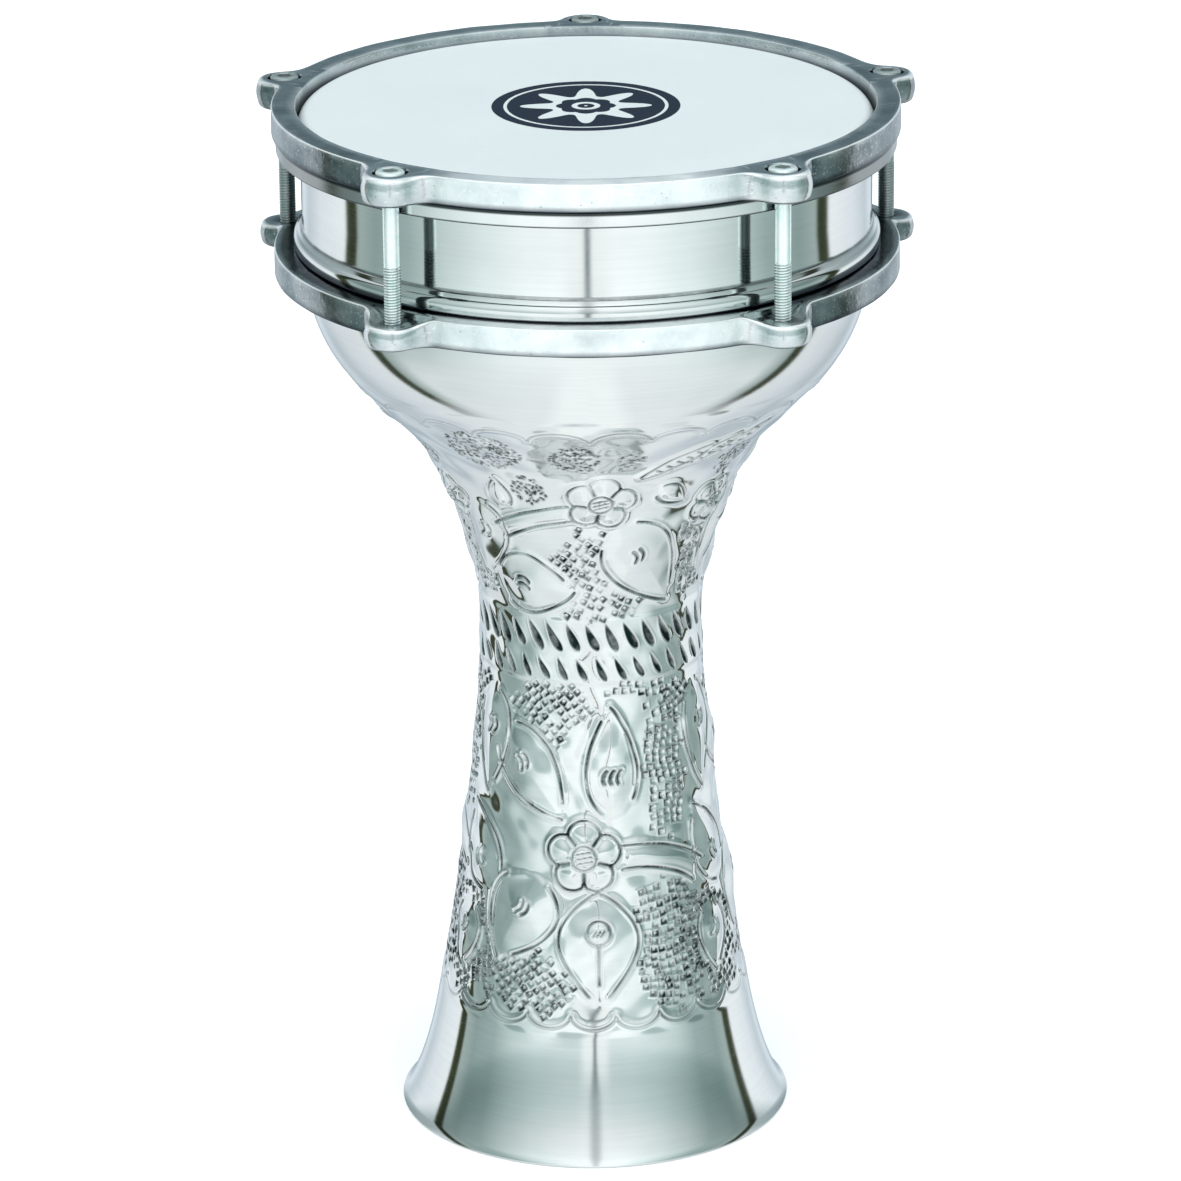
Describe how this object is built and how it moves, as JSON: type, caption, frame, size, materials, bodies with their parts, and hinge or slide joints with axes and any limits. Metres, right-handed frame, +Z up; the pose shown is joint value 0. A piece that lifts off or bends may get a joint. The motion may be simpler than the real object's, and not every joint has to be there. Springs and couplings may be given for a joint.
{
  "type": "darbuka goblet drum",
  "caption": "Goblet drum with an engraved spun aluminium shell and a plastic head tensioned by cast rings and long screws.",
  "frame": {"origin": "on the floor, at the centre of the open foot, on the drum's axis", "axes": "+Z up along the drum's axis towards the playing head, +Y through one tension screw, -Y midway between two"},
  "size_m": [0.232, 0.2315, 0.377],
  "materials": {
    "polished_aluminium": "polished, chased and punched",
    "cast_aluminium": "satin, tumbled casting",
    "drawn_aluminium": "satin",
    "zinc_steel": "bright zinc plating",
    "head_film": "smooth milky white film with a printed round emblem",
    "cast_resin": "cured, slightly translucent"
  },
  "bodies": {
    "shell": {"shell": "polished_aluminium", "lower_ring": "cast_aluminium", "head_film": "head_film"},
    "tension_hoop": {"upper_ring": "cast_aluminium", "head_channel": "drawn_aluminium", "head_resin": "cast_resin"},
    "screw_1": {"tension_screw_1": "zinc_steel"},
    "screw_2": {"tension_screw_2": "zinc_steel"},
    "screw_3": {"tension_screw_3": "zinc_steel"},
    "screw_4": {"tension_screw_4": "zinc_steel"},
    "screw_5": {"tension_screw_5": "zinc_steel"}
  },
  "joints": [
    {"name": "hoop_slide", "type": "slide", "parent": "shell", "child": "tension_hoop", "axis": [0, 0, 1], "range_m": [-0.002, 0.002], "deforming": ["head_film"]},
    {"name": "screw_1_turn", "type": "hinge", "parent": "tension_hoop", "child": "screw_1", "pos_m": [0, 0.1121, 0.371], "axis": [0, 0, 1], "range_deg": [-725, 725]},
    {"name": "screw_2_turn", "type": "hinge", "parent": "tension_hoop", "child": "screw_2", "pos_m": [-0.10661, 0.03464, 0.371], "axis": [0, 0, 1], "range_deg": [-725, 725]},
    {"name": "screw_3_turn", "type": "hinge", "parent": "tension_hoop", "child": "screw_3", "pos_m": [-0.06589, -0.09069, 0.371], "axis": [0, 0, 1], "range_deg": [-725, 725]},
    {"name": "screw_4_turn", "type": "hinge", "parent": "tension_hoop", "child": "screw_4", "pos_m": [0.06589, -0.09069, 0.371], "axis": [0, 0, 1], "range_deg": [-725, 725]},
    {"name": "screw_5_turn", "type": "hinge", "parent": "tension_hoop", "child": "screw_5", "pos_m": [0.10661, 0.03464, 0.371], "axis": [0, 0, 1], "range_deg": [-725, 725]}
  ],
  "couplings": [
    {"joint": "screw_1_turn", "follows": "hoop_slide", "rad_per_m": 6283.2},
    {"joint": "screw_2_turn", "follows": "hoop_slide", "rad_per_m": 6283.2},
    {"joint": "screw_3_turn", "follows": "hoop_slide", "rad_per_m": 6283.2},
    {"joint": "screw_4_turn", "follows": "hoop_slide", "rad_per_m": 6283.2},
    {"joint": "screw_5_turn", "follows": "hoop_slide", "rad_per_m": 6283.2}
  ]
}
